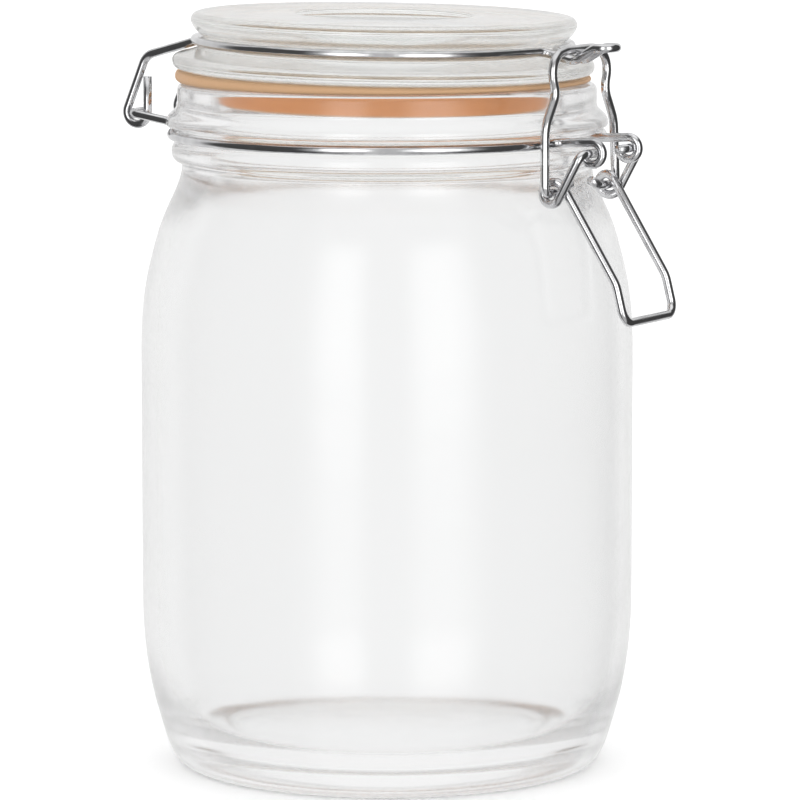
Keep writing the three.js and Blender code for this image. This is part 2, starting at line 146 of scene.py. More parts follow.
class JarSizes(bpy.types.PropertyGroup):
    """Sizes of the glass jar."""

    body_radius: length("Body radius", "Outside radius of the straight body", 55)
    foot_radius: length("Foot radius", "Radius where the base leaves the floor", 44.5)
    foot_round: length("Foot round", "How far the foot's curve runs along the floor", 4)
    heel_radius: length("Heel radius", "Radius part of the way up the heel", 51.5)
    heel_height: length("Heel height", "Height of that point on the heel", 11.9)
    heel_lean: length("Heel lean", "How far out the curves' handles lean at that point", 1.95)
    heel_pull: length("Heel pull", "How far up and down those handles reach", 6.5)
    body_from: length("Body from", "Height where the body becomes straight", 39.5)
    body_to: length("Body to", "Height where the shoulder starts", 93)
    body_pull: length("Body pull", "Length of the curves' handles on the body", 12.5)
    shoulder_radius: length("Shoulder radius", "Radius at the middle of the shoulder", 51.5)
    shoulder_height: length("Shoulder height", "Height of the middle of the shoulder", 118.4)
    shoulder_lean: length("Shoulder lean", "How far in the curves' handles lean at that point", 2)
    shoulder_pull: length("Shoulder pull", "How far up and down those handles reach", 7.5)
    shoulder_top_radius: length("Shoulder top radius", "Radius under the lower bead", 45.6)
    shoulder_top: length("Shoulder top", "Height where the lower bead starts", 135.3)
    shoulder_top_pull: length("Shoulder top pull", "Length of the curve's handle under the bead", 5)
    wall: length("Wall", "Thickness of the glass wall", 3.2)
    base: length("Base", "Thickness of the glass base", 5.5)
    floor_radius: length("Floor radius", "Radius of the flat part of the inside floor", 33)
    inner_heel_radius: length("Inner heel radius", "How far out the inside heel's curve is pulled", 49.5)
    kick_radius: length("Kick radius", "Radius of the shallow hollow under the base", 37)
    kick_height: length("Kick height", "Height of that hollow", 1.3)
    kick_blend: length("Kick blend", "How far in from its edge the hollow starts to fall", 4)
    kick_lean: length("Kick lean", "How far the hollow's edge leans out", 1)
    kick_round: length("Kick round", "How far the hollow's edge is rounded along the floor", 3)
    lower_bead_radius: length("Lower bead radius", "Radius of the bead under the wire", 48)
    lower_bead_height: length("Lower bead height", "Height of the lower bead's middle", 137.8)
    groove_radius: length("Groove radius", "Radius of the groove for the neck wire", 46.4)
    groove_from: length("Groove from", "Height of the groove's lower edge", 140.1)
    groove_to: length("Groove to", "Height of the groove's upper edge", 143.4)
    upper_bead_radius: length("Upper bead radius", "Radius of the bead over the wire", 49.2)
    upper_bead_round: length("Upper bead round", "Rounding of the upper bead's lower edge", 0.6)
    upper_bead_height: length("Upper bead height", "Height of the upper bead's edge", 144.4)
    neck_radius: length("Neck radius", "Outside radius of the neck under the rim", 46.7)
    neck_from: length("Neck from", "Height where the neck becomes straight", 148.6)
    neck_blend: length("Neck blend", "Length of the curve's handles between bead and neck", 2)
    mouth_radius: length("Mouth radius", "Inside radius of the mouth", 39.4)
    rim_height: length("Rim height", "Height of the rim", 152.8)
    rim_round: length("Rim round", "Rounding of the rim's edges", 1.4)


class LidSizes(bpy.types.PropertyGroup):
    """Sizes of the glass lid and of the seal under it."""

    shift: length("Shift", "How far the shut lid sits back towards the hinge", 1)
    tilt: FloatProperty(
        name="Tilt", description="How far the shut lid leans towards the clip",
        default=math.radians(1.1), subtype="ANGLE", unit="ROTATION",
    )
    flange_radius: length("Flange radius", "Radius of the flange on the seal", 47)
    flange_bottom: length("Flange bottom", "Height of the flange's underside", 155.5)
    flange_edge: length("Flange edge", "Height of the flange's widest line", 157.3)
    flange_top: length("Flange top", "Height of the flange at the groove", 160.1)
    flange_slope: length("Flange slope", "Fall of the flange's top to its edge", 1.3)
    flange_round: length("Flange round", "Rounding of the flange's edge", 2)
    groove_radius: length("Groove radius", "Radius of the groove for the lid wire", 40.2)
    groove_height: length("Groove height", "Height of the groove's middle", 161.9)
    groove_width: length("Groove width", "Width of the groove's bottom", 2)
    disc_radius: length("Disc radius", "Radius of the disc on top", 43)
    disc_edge: length("Disc edge", "Height of the disc's widest line", 166.2)
    disc_round: length("Disc round", "Rounding of the disc's top edge", 2.2)
    chamfer: length("Chamfer", "Small rounding at the lid's inner corners", 0.8)
    top: length("Top", "Height of the lid's top", 168.1)
    dish_radius: length("Dish radius", "Radius of the shallow dish on top", 19.6)
    dish_depth: length("Dish depth", "Depth of the dish", 0.7)
    plug_radius: length("Plug radius", "Radius of the plug inside the mouth", 34.5)
    plug_bottom: length("Plug bottom", "Height of the plug's underside", 150.2)
    plug_round: length("Plug round", "Rounding of the plug's edge", 1.2)
    fit_gap: length("Fit gap", "Gap between the seal and the glass", 0.3)
    seal_radius: length("Seal radius", "Outside radius of the seal", 46.3)
    seal_bulge: length("Seal bulge", "How far the squeezed seal bulges", 0.75)
    seal_lip_radius: length("Seal lip radius", "Outside radius of the seal's lip", 37.8)
    seal_tip_radius: length("Seal tip radius", "Outside radius at the lip's lower end", 36.8)
    seal_lip_bottom: length("Seal lip bottom", "Height of the lip's lower end", 147.7)


class WireSizes(bpy.types.PropertyGroup):
    """Sizes of the wires. A place is out from the jar's axis and up; a side is from the middle plane."""

    neck_wire: length("Neck wire", "Diameter of the wire round the neck", 2)
    clip_wire: length("Clip wire", "Diameter of the other wires", 2)
    neck_ring_radius: length("Neck ring radius", "Radius of the neck wire's ring", 48)
    neck_ring_height: length("Neck ring height", "Height of the neck wire's ring", 141.5)
    ring_end_bend: length("Ring end bend", "Bend where a ring turns out", 3)
    eye: place("Eye", "Middle of the eyes that hold the lever", 56.3, 139.9)
    eye_radius: length("Eye radius", "Radius of the eyes", 2.4)
    eye_side: length("Eye side", "Side of the eyes", 8.4)
    eye_leg_drop: length("Eye leg drop", "Fall of the eyes' legs to the ring", 0.5)
    lever_pivot: place("Lever pivot", "Where the lever's pins turn", 56.3, 139.9)
    lever_pin_tip: length("Lever pin tip", "Side of the lever's pin tips", 3.6)
    lever_arm_side: length("Lever arm side", "Side of the lever's arms", 14.1)
    lever_pin_bend: length("Lever pin bend", "Bend between pin and arm", 2)
    coil_radius: length("Coil radius", "Radius of the coils that hold the link", 2.35)
    handle_side: length("Handle side", "Side of the handle's legs", 11.7)
    handle_knee: place("Handle knee", "Where the handle bends down", 63.9, 112)
    handle_knee_bend: length("Handle knee bend", "Bend of the knee", 8)
    handle_end: place("Handle end", "Middle of the handle's bar", 66, 103.7)
    handle_end_bend: length("Handle end bend", "Bend at the handle's corners", 3.2)
    link_pivot: place("Link pivot", "Where the link's feet turn", 48.9, 131.3)
    link_pin_tip: length("Link pin tip", "Side of the link's inner tips", 4.8)
    link_pin_kink: length("Link pin kink", "Side where the tips bend up", 9.4)
    link_pin_rise: length("Link pin rise", "Rise of the tips", 1.4)
    link_foot_side: length("Link foot side", "Side of the link's feet", 16.4)
    link_foot_bend: length("Link foot bend", "Bend at the feet", 1.8)
    link_bulge: place("Link bulge", "Widest part of the link", 48.6, 145.5)
    link_bulge_side: length("Link bulge side", "Side of the widest part", 15.9)
    link_bulge_bend: length("Link bulge bend", "Bend of the widest part", 7)
    link_waist: place("Link waist", "Narrowest part of the link", 48.8, 152.6)
    link_waist_side: length("Link waist side", "Side of the narrowest part", 11.1)
    link_waist_bend: length("Link waist bend", "Bend of the narrowest part", 4)
    link_top: place("Link top", "The bar over the tongue", 48.5, 160.2)
    link_top_side: length("Link top side", "Side of the bar's ends", 14.3)
    link_top_bend: length("Link top bend", "Bend at the bar's ends", 4.5)
    link_arch_side: length("Link arch side", "Side where the bar levels out", 6)
    link_arch_height: length("Link arch height", "Height of the bar's middle", 161.8)
    link_arch_bend: length("Link arch bend", "Bend where the bar levels out", 8)
    lid_ring_radius: length("Lid ring radius", "Radius of the lid wire's ring", 41.8)
    tongue_side: length("Tongue side", "Side of the tongue's two wires", 2.5)
    tongue_bend: length("Tongue bend", "Bends along the tongue", 2.5)
    tongue_tip_bend: length("Tongue tip bend", "Bend at the tongue's tip", 2.4)
    tongue_dip: place("Tongue dip", "Where the link's bar sits", 48.5, 159.25)
    tongue_rise: place("Tongue rise", "Where the tongue levels out", 53.5, 162.2)
    tongue_tip: place("Tongue tip", "The tongue's tip", 57.3, 162.3)
    hinge: place("Hinge", "Middle of the hinge pins", 59.2, 144.8)
    hinge_arm_side: length("Hinge arm side", "Side of the hinge pins' arms", 13.4)
    hinge_knee: place("Hinge knee", "Where the hinge pins' arms level out", 49.4, 143.3)
    hinge_knee_bend: length("Hinge knee bend", "Bend of that knee", 2)
    hinge_pin_tip: length("Hinge pin tip", "Side of the hinge pins' tips", 7.6)
    hinge_pin_bend: length("Hinge pin bend", "Bend of the hinge pins", 2)
    hook_side: length("Hook side", "Side of the lid wire's hooks", 10.6)
    hook_radius: length("Hook radius", "Radius of the hooks", 2.75)
    hook_bend: place("Hook bend", "Where the lid wire turns down to its hooks", 56.8, 157.7)
    hook_bend_radius: length("Hook bend radius", "Radius of that bend", 4)
    hook_stub: place("Hook stub", "Tip of the hooks' upright ends", 56.4, 152.9)
    hook_arm_drop: length("Hook arm drop", "Fall of the hooks' arms where they leave the ring", 0.8)


class Finishes(bpy.types.PropertyGroup):
    """Colours of the jar's materials."""

    jar_glass: colour("Jar glass", "Tint of the jar's glass", 0.988, 0.990, 0.990)
    lid_glass: colour("Lid glass", "Tint of the lid's glass", 0.972, 0.982, 0.970)
    rubber: colour("Rubber", "Colour of the seal's lip", 0.72, 0.298, 0.104)
    rubber_edge: colour("Rubber edge", "Colour of the seal's weathered outer edge", 0.50, 0.30, 0.16)
    rubber_pale: colour("Pale rubber", "Colour of the seal where the lid presses on it", 0.62, 0.51, 0.41)
    steel: colour("Steel", "Colour of the wires", 0.68, 0.68, 0.69)
    steel_dull: colour("Dull steel", "Colour of the wires' duller patches", 0.52, 0.52, 0.53)


class StageLook(bpy.types.PropertyGroup):
    """The floor, the light and the camera."""

    floor_colour: colour("Floor", "Colour of the floor", 0.93, 0.93, 0.93)
    floor_size: length("Floor size", "Width of the floor", 60000)
    light: amount("Light", "Strength of the white surroundings", 1.0)
    matt_light: amount("Matt light", "Extra light on matt surfaces", 0.45)
    inside_light: amount("Inside light", "Extra light on matt surfaces behind glass", 1.0)
    glass_shade: amount("Glass shade", "How much dimmer the surroundings are through glass", 0.06)
    box_light: amount("Soft boxes", "Strength of the soft boxes in reflections", 2.6)
    camera_at: FloatVectorProperty(
        name="Camera at", description="Where the camera stands", default=(-1.0222, -0.5935, 0.234),
        size=3, subtype="TRANSLATION", unit="LENGTH",
    )
    camera_to: FloatVectorProperty(
        name="Camera to", description="Where the camera looks", default=(0.00145, -0.0025, 0.0816),
        size=3, subtype="TRANSLATION", unit="LENGTH",
    )
    lens: FloatProperty(name="Lens", description="Focal length in millimetres", default=239.2, min=1)


class ClipJarSettings(bpy.types.PropertyGroup):
    """Everything that the clip top jar is made from."""

    jar: PointerProperty(name="Jar", description="Sizes of the jar", type=JarSizes)
    lid: PointerProperty(name="Lid", description="Sizes of the lid and seal", type=LidSizes)
    wires: PointerProperty(name="Wires", description="Sizes of the wires", type=WireSizes)
    finishes: PointerProperty(name="Finishes", description="Colours", type=Finishes)
    stage: PointerProperty(name="Stage", description="Floor, light and camera", type=StageLook)
    round_steps: IntProperty(
        name="Round steps", description="Steps round a turned piece", default=160, min=12,
    )
    curve_steps: IntProperty(
        name="Curve steps", description="Steps along a curve of an outline", default=12, min=2,
    )


def settings():
    """The scene's own sizes and colours."""
    return bpy.context.scene.clip_jar


class Outline:
    """Half of a turned piece's section, as radius and height, from lines and curves."""

    def __init__(self, radius, height):
        self.points = [Vector((radius, height))]

    def line(self, radius, height):
        self.points.append(Vector((radius, height)))

    def curve(self, first, second, end):
        """A curve with two handles."""
        corners = [self.points[-1], Vector(first), Vector(second), Vector(end)]
        self.points += interpolate_bezier(*corners, settings().curve_steps)[1:]

    def round(self, corner, end):
        """A curve that rounds off one corner."""
        start = self.points[-1]
        corner = Vector(corner)
        self.curve(start.lerp(corner, ROUND_HANDLE), Vector(end).lerp(corner, ROUND_HANDLE), end)


def turned(outline, closed=False):
    """A bmesh of an outline turned about the jar's axis."""
    mesh = bmesh.new()
    points = [mesh.verts.new((point.x, 0, point.y)) for point in outline.points]
    if closed:
        points.append(points[0])
    edges = [mesh.edges.new(pair) for pair in zip(points, points[1:])]
    bmesh.ops.spin(
        mesh, geom=list(set(points)) + edges, cent=(0, 0, 0), axis=(0, 0, 1), dvec=(0, 0, 0),
        angle=FULL_TURN, steps=settings().round_steps, use_merge=True,
    )
    bmesh.ops.remove_doubles(mesh, verts=mesh.verts, dist=WELD_DISTANCE)
    bmesh.ops.recalc_face_normals(mesh, faces=mesh.faces)
    return mesh


def finished(mesh, name, material, body, node):
    """Makes a bmesh into a smooth piece that rides on a body and stands for a node."""
    data = bpy.data.meshes.new(name)
    mesh.to_mesh(data)
    mesh.free()
    data.shade_smooth()
    data.materials.append(material)
    piece = bpy.data.objects.new(name, data)
    bpy.context.scene.collection.objects.link(piece)
    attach(piece, body)
    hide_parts(node)


def corner(x, y, z, bend=0.0):
    """A corner of a wire, with the radius of the bend there."""
    return Vector((x, y, z)), bend


def corner_at(side, x, at, bend=0.0):
    """A corner at a place on the front or the back, given as distance out and height."""
    return corner(x, side * at[0], at[1], bend)


def bent(corners):
    """Points along a wire that runs straight between corners and bends round at each."""
    points = [corners[0][0]]
    for before, (here, bend), after in zip(corners, corners[1:], corners[2:]):
        arriving = (here - before[0]).normalized()
        leaving = (after[0] - here).normalized()
        turn = arriving.angle(leaving)
        if bend == 0 or turn < STRAIGHT:
            points.append(here)
            continue
        start = here - arriving * bend * math.tan(turn / 2)
        inward = (leaving - arriving * leaving.dot(arriving)).normalized()
        steps = max(FEWEST_BEND_STEPS, math.ceil(turn / BEND_STEP))
        for step in range(steps + 1):
            angle = turn * step / steps
            points.append(start + arriving * bend * math.sin(angle) + inward * bend * (1 - math.cos(angle)))
    points.append(corners[-1][0])
    return points


def ring(radius, middle, height, start, end):
    """Corners along a ring about (0, middle), between two bearings from +X towards +Y."""
    steps = math.ceil(abs(end - start) / RING_STEP)
    corners = []
    for step in range(steps + 1):
        angle = start + (end - start) * step / steps
        y = middle + radius * math.sin(angle)
        corners.append(corner(radius * math.cos(angle), y, height(y)))
    return corners


def tangent_angle(centre, radius, point, turn):
    """Where a line from a point meets a circle as a tangent."""
    away = Vector(point) - Vector(centre)
    return math.atan2(away.y, away.x) + turn * math.acos(radius / away.length)


def loop(centre, radius, side, start, end, x_from, x_to):
    """Corners round a loop whose axis lies along X, at the front or the back."""
    steps = math.ceil(abs(end - start) / BEND_STEP)
    corners = []
    for step in range(steps + 1):
        angle = start + (end - start) * step / steps
        out = centre[0] + radius * math.cos(angle)
        x = x_from + (x_to - x_from) * step / steps
        corners.append(corner(x, side * out, centre[1] + radius * math.sin(angle)))
    return corners


def mirrored(half):
    """The whole of a symmetric wire from its right half."""
    other = [corner(-point.x, point.y, point.z, bend) for point, bend in half]
    return half + other[::-1]


def wire(mesh, points, diameter):
    """Adds a round wire along points to a bmesh, with its cut ends rounded off."""
    curve = bpy.data.curves.new("wire_run", "CURVE")
    curve.dimensions = "3D"
    curve.bevel_depth = diameter / 2
    curve.bevel_resolution = WIRE_ROUNDNESS
    curve.use_fill_caps = True
    run = curve.splines.new("POLY")
    run.points.add(len(points) - 1)
    for knot, point in zip(run.points, points):
        knot.co = (*point, 1)
    holder = bpy.data.objects.new("wire_run", curve)
    data = bpy.data.meshes.new_from_object(holder)
    bpy.data.objects.remove(holder)
    bpy.data.curves.remove(curve)
    tube = bmesh.new()
    tube.from_mesh(data)
    bmesh.ops.remove_doubles(tube, verts=tube.verts, dist=WELD_DISTANCE)
    bmesh.ops.recalc_face_normals(tube, faces=tube.faces)
    ends = [edge for face in tube.faces if len(face.verts) > 4 for edge in face.edges]
    bmesh.ops.bevel(
        tube, geom=ends, offset=CUT_ROUND, offset_type="OFFSET", segments=CUT_SEGMENTS, profile=0.5,
        affect="EDGES", material=-1, clamp_overlap=True,
    )
    tube.to_mesh(data)
    tube.free()
    mesh.from_mesh(data)
    bpy.data.meshes.remove(data)


def shader_group(name, inputs, outputs):
    """An empty shader node group with named sockets, and its two end nodes."""
    group = bpy.data.node_groups.new(name, "ShaderNodeTree")
    for title, kind, default in inputs:
        socket = group.interface.new_socket(title, in_out="INPUT", socket_type=kind)
        socket.default_value = default
    for title, kind in outputs:
        group.interface.new_socket(title, in_out="OUTPUT", socket_type=kind)
    return group, group.nodes.new("NodeGroupInput"), group.nodes.new("NodeGroupOutput")


def arithmetic(nodes, operation, second=None, third=None, clamp=False):
    """A Math node, with plain numbers on its second and third inputs where they get no link."""
    node = nodes.new("ShaderNodeMath")
    node.operation = operation
    node.use_clamp = clamp
    for index, number in ((1, second), (2, third)):
        if number is not None:
            node.inputs[index].default_value = number
    return node


def value_range(nodes, source=(0, 1), result=(0, 1)):
    """A Map Range node that spreads one range over another."""
    node = nodes.new("ShaderNodeMapRange")
    node.inputs["From Min"].default_value = source[0]
    node.inputs["From Max"].default_value = source[1]
    node.inputs["To Min"].default_value = result[0]
    node.inputs["To Max"].default_value = result[1]
    return node


def colour_mix(nodes, **colours):
    """A mix of the colours A and B. One that isn't given gets a link."""
    node = nodes.new("ShaderNodeMix")
    node.data_type = "RGBA"
    for side, tint in colours.items():
        node.inputs[side].default_value = (*tint, 1)
    return node


def mottle_group():
    """Soft cloudy patches and fine specks, as masks over the surface."""
    if "Surface mottle" in bpy.data.node_groups:
        return bpy.data.node_groups["Surface mottle"]
    group, inside, outside = shader_group(
        "Surface mottle",
        [("Cloud scale", "NodeSocketFloat", 60.0), ("Speck scale", "NodeSocketFloat", 900.0)],
        [("Cloud", "NodeSocketFloat"), ("Speck", "NodeSocketFloat")],
    )
    link = group.links.new
    coordinates = group.nodes.new("ShaderNodeTexCoord")
    cloud = group.nodes.new("ShaderNodeTexNoise")
    cloud.inputs["Detail"].default_value = CLOUD_DETAIL
    speck = group.nodes.new("ShaderNodeTexNoise")
    speck.inputs["Detail"].default_value = SPECK_DETAIL
    speck.inputs["Roughness"].default_value = SPECK_ROUGHNESS
    for noise, scale, title in ((cloud, "Cloud scale", "Cloud"), (speck, "Speck scale", "Speck")):
        spread = value_range(group.nodes, source=MOTTLE_SHOWS)
        link(coordinates.outputs["Object"], noise.inputs["Vector"])
        link(inside.outputs[scale], noise.inputs["Scale"])
        link(noise.outputs["Fac"], spread.inputs["Value"])
        link(spread.outputs["Result"], outside.inputs[title])
    return group


def ripple_group():
    """The slow ripple of moulded glass, drawn out round the piece, and faint smears in its polish."""
    if "Moulded ripple" in bpy.data.node_groups:
        return bpy.data.node_groups["Moulded ripple"]
    group, inside, outside = shader_group(
        "Moulded ripple",
        [("Wave scale", "NodeSocketFloat", 40.0), ("Upright stretch", "NodeSocketFloat", 2.0),
         ("Haze", "NodeSocketFloat", 0.0)],
        [("Height", "NodeSocketFloat"), ("Smear", "NodeSocketFloat")],
    )
    link = group.links.new
    coordinates = group.nodes.new("ShaderNodeTexCoord")
    stretch = group.nodes.new("ShaderNodeCombineXYZ")
    stretch.inputs["X"].default_value = 1
    stretch.inputs["Y"].default_value = 1
    drawn = group.nodes.new("ShaderNodeVectorMath")
    drawn.operation = "MULTIPLY"
    wave = group.nodes.new("ShaderNodeTexNoise")
    wave.inputs["Detail"].default_value = WAVE_DETAIL
    smear = group.nodes.new("ShaderNodeTexNoise")
    smear.inputs["Scale"].default_value = SMEAR_SCALE
    smear.inputs["Detail"].default_value = SMEAR_DETAIL
    faint = value_range(group.nodes, source=SMEAR_SHOWS, result=(0, SMEAR_ROUGHNESS))
    hazy = arithmetic(group.nodes, "ADD")
    link(inside.outputs["Upright stretch"], stretch.inputs["Z"])
    link(coordinates.outputs["Object"], drawn.inputs[0])
    link(stretch.outputs["Vector"], drawn.inputs[1])
    link(drawn.outputs["Vector"], wave.inputs["Vector"])
    link(inside.outputs["Wave scale"], wave.inputs["Scale"])
    link(wave.outputs["Fac"], outside.inputs["Height"])
    link(coordinates.outputs["Object"], smear.inputs["Vector"])
    link(smear.outputs["Fac"], faint.inputs["Value"])
    link(faint.outputs["Result"], hazy.inputs[0])
    link(inside.outputs["Haze"], hazy.inputs[1])
    link(hazy.outputs["Value"], outside.inputs["Smear"])
    return group


def blank_material(name):
    """A material with one Principled shader, and its nodes and links."""
    material = bpy.data.materials.new(name)
    material.use_nodes = True
    shader = material.node_tree.nodes["Principled BSDF"]
    return material, shader, material.node_tree.nodes, material.node_tree.links.new


def placed_group(nodes, group, **values):
    """A node of a group, with its inputs set by name."""
    node = nodes.new("ShaderNodeGroup")
    node.node_tree = group
    for title, value in values.items():
        node.inputs[title.replace("_", " ").capitalize()].default_value = value
    return node


def bump(nodes, strength, distance):
    """A Bump node of a strength and a depth in metres."""
    node = nodes.new("ShaderNodeBump")
    node.inputs["Strength"].default_value = strength
    node.inputs["Distance"].default_value = distance
    return node


def glass_material(name, tint, depth, **ripples):
    """Clear moulded glass: a faint ripple, and faint smears in its polish."""
    material, shader, nodes, link = blank_material(name)
    shader.inputs["Base Color"].default_value = (*tint, 1)
    shader.inputs["Transmission Weight"].default_value = 1
    shader.inputs["IOR"].default_value = GLASS_IOR
    ripple = placed_group(nodes, ripple_group(), **ripples)
    waviness = bump(nodes, RIPPLE_STRENGTH, depth)
    link(ripple.outputs["Height"], waviness.inputs["Height"])
    link(ripple.outputs["Smear"], shader.inputs["Roughness"])
    link(waviness.outputs["Normal"], shader.inputs["Normal"])
    return material


def rubber_material():
    """Natural orange rubber: weathered at its outer edge, pale under the lid, with a fine matt grain."""
    finishes = settings().finishes
    material, shader, nodes, link = blank_material("seal_rubber")
    mottle = placed_group(nodes, mottle_group(), **RUBBER_MOTTLE)
    edge = nodes.new("ShaderNodeAttribute")
    edge.attribute_name = SEAL_EDGE
    lip = nodes.new("ShaderNodeAttribute")
    lip.attribute_name = SEAL_LIP
    cloudy = arithmetic(nodes, "MULTIPLY_ADD", RUBBER_CLOUDING, clamp=True)
    # Paler colour on the seal's top, bore and lip tip, turning to the weathered tan at its outer edge and in
    # cloudy patches
    pale_with_edge = colour_mix(nodes, A=finishes.rubber_pale, B=finishes.rubber_edge)
    tone = colour_mix(nodes, B=finishes.rubber)
    sheen = value_range(nodes, result=RUBBER_ROUGHNESS)
    grain = bump(nodes, *RUBBER_GRAIN)
    link(mottle.outputs["Cloud"], cloudy.inputs[0])
    link(edge.outputs["Fac"], cloudy.inputs[2])
    link(cloudy.outputs["Value"], pale_with_edge.inputs["Factor"])
    link(lip.outputs["Fac"], tone.inputs["Factor"])
    link(pale_with_edge.outputs["Result"], tone.inputs["A"])
    link(tone.outputs["Result"], shader.inputs["Base Color"])
    link(mottle.outputs["Speck"], sheen.inputs["Value"])
    link(sheen.outputs["Result"], shader.inputs["Roughness"])
    link(mottle.outputs["Speck"], grain.inputs["Height"])
    link(grain.outputs["Normal"], shader.inputs["Normal"])
    return material


def wire_material():
    """Bright drawn steel wire: patches of duller polish and fine draw marks."""
    if "bright_wire" in bpy.data.materials:
        return bpy.data.materials["bright_wire"]
    finishes = settings().finishes
    material, shader, nodes, link = blank_material("bright_wire")
    shader.inputs["Metallic"].default_value = 1
    mottle = placed_group(nodes, mottle_group(), **WIRE_MOTTLE)
    tone = colour_mix(nodes, A=finishes.steel, B=finishes.steel_dull)
    polish = value_range(nodes, result=WIRE_ROUGHNESS)
    marks = bump(nodes, *WIRE_MARKS)
    link(mottle.outputs["Cloud"], tone.inputs["Factor"])
    link(tone.outputs["Result"], shader.inputs["Base Color"])
    link(mottle.outputs["Cloud"], polish.inputs["Value"])
    link(polish.outputs["Result"], shader.inputs["Roughness"])
    link(mottle.outputs["Speck"], marks.inputs["Height"])
    link(marks.outputs["Normal"], shader.inputs["Normal"])
    return material


class CLIPJAR_OT_jar(bpy.types.Operator):
    """Turns the glass jar: thick base, rounded shoulder, beaded neck and open mouth"""

    bl_idname = "clip_jar.jar"
    bl_label = "Glass jar"

    def execute(self, context):
        size = settings().jar
        inner = size.body_radius - size.wall
        heel = Vector((size.heel_radius, size.heel_height))
        heel_pull = Vector((size.heel_lean, size.heel_pull))
        shoulder = Vector((size.shoulder_radius, size.shoulder_height))
        shoulder_in = shoulder - Vector((size.wall, 0))
        shoulder_pull = Vector((-size.shoulder_lean, size.shoulder_pull))
        outline = Outline(0, size.kick_height)
        outline.curve((size.kick_radius / 2, size.kick_height),
                      (size.kick_radius - size.kick_blend, size.kick_height),
                      (size.kick_radius, size.kick_height / 2))
        outline.round((size.kick_radius + size.kick_lean, 0), (size.kick_radius + size.kick_round, 0))
        outline.line(size.foot_radius, 0)
        outline.curve((size.foot_radius + size.foot_round, 0), heel - heel_pull, heel)
        outline.curve(heel + heel_pull, (size.body_radius, size.body_from - size.body_pull),
                      (size.body_radius, size.body_from))
        outline.line(size.body_radius, size.body_to)
        outline.curve((size.body_radius, size.body_to + size.body_pull), shoulder - shoulder_pull, shoulder)
        outline.curve(shoulder + shoulder_pull,
                      (size.shoulder_top_radius, size.shoulder_top - size.shoulder_top_pull),
                      (size.shoulder_top_radius, size.shoulder_top))
        outline.round((size.lower_bead_radius, size.shoulder_top),
                      (size.lower_bead_radius, size.lower_bead_height))
        outline.round((size.lower_bead_radius, size.groove_from), (size.groove_radius, size.groove_from))
        outline.line(size.groove_radius, size.groove_to)
        outline.line(size.upper_bead_radius - size.upper_bead_round, size.groove_to)
        outline.round((size.upper_bead_radius, size.groove_to),
                      (size.upper_bead_radius, size.groove_to + size.upper_bead_round))
        outline.line(size.upper_bead_radius, size.upper_bead_height)
        outline.curve((size.upper_bead_radius, size.upper_bead_height + size.neck_blend),
                      (size.neck_radius, size.neck_from - size.neck_blend),
                      (size.neck_radius, size.neck_from))
        outline.line(size.neck_radius, size.rim_height - size.rim_round)
        outline.round((size.neck_radius, size.rim_height),
                      (size.neck_radius - size.rim_round, size.rim_height))
        outline.line(size.mouth_radius + size.rim_round, size.rim_height)
        outline.round((size.mouth_radius, size.rim_height),
                      (size.mouth_radius, size.rim_height - size.rim_round))
        outline.line(size.mouth_radius, size.lower_bead_height)
        outline.curve((size.mouth_radius, size.lower_bead_height - size.shoulder_pull),
                      shoulder_in + shoulder_pull, shoulder_in)
        outline.curve(shoulder_in - shoulder_pull, (inner, size.body_to + size.body_pull),
                      (inner, size.body_to))
        outline.line(inner, size.body_from)
        outline.curve((inner, size.body_from / 2), (size.inner_heel_radius, size.base),
                      (size.floor_radius, size.base))
        outline.line(0, size.base)
        material = glass_material("jar_glass", settings().finishes.jar_glass, JAR_RIPPLE_DEPTH, **JAR_RIPPLE)
        finished(turned(outline), "glass_jar", material, "jar", "jar")
        return {"FINISHED"}


class CLIPJAR_OT_lid(bpy.types.Operator):
    """Turns the glass lid: plug, flange, wire groove and dished disc, leaning on its seal"""

    bl_idname = "clip_jar.lid"
    bl_label = "Glass lid"

    def execute(self, context):
        size = settings().lid
        flange_edge = size.flange_top - size.flange_slope
        groove_from = size.groove_height - size.groove_width / 2
        groove_to = size.groove_height + size.groove_width / 2
        outline = Outline(0, size.plug_bottom)
        outline.line(size.plug_radius - size.plug_round, size.plug_bottom)
        outline.round((size.plug_radius, size.plug_bottom),
                      (size.plug_radius, size.plug_bottom + size.plug_round))
        outline.line(size.plug_radius, size.flange_bottom - size.chamfer)
        outline.round((size.plug_radius, size.flange_bottom),
                      (size.plug_radius + size.chamfer, size.flange_bottom))
        outline.line(size.flange_radius - size.chamfer * 2, size.flange_bottom)
        outline.round((size.flange_radius, size.flange_bottom), (size.flange_radius, size.flange_edge))
        outline.round((size.flange_radius, flange_edge),
                      (size.flange_radius - size.flange_round, flange_edge))
        outline.line(size.groove_radius + size.chamfer, size.flange_top)
        outline.round((size.groove_radius, size.flange_top), (size.groove_radius, groove_from))
        outline.line(size.groove_radius, groove_to)
        outline.round((size.disc_radius - size.chamfer, groove_to + size.chamfer),
                      (size.disc_radius, size.disc_edge))
        outline.round((size.disc_radius, size.top), (size.disc_radius - size.disc_round, size.top))
        outline.line(size.dish_radius + size.dish_depth, size.top)
        outline.round((size.dish_radius, size.top), (size.dish_radius, size.top - size.dish_depth))
        outline.line(0, size.top - size.dish_depth)
        mesh = turned(outline)
        rim = (0, 0, settings().jar.rim_height)
        bmesh.ops.rotate(mesh, verts=mesh.verts, cent=rim, matrix=Matrix.Rotation(size.tilt, 3, "X"))
        bmesh.ops.translate(mesh, verts=mesh.verts, vec=(0, size.shift, 0))
        material = glass_material("lid_glass", settings().finishes.lid_glass, LID_RIPPLE_DEPTH, **LID_RIPPLE)
        finished(mesh, "glass_lid", material, "lid", "lid")
        return {"FINISHED"}


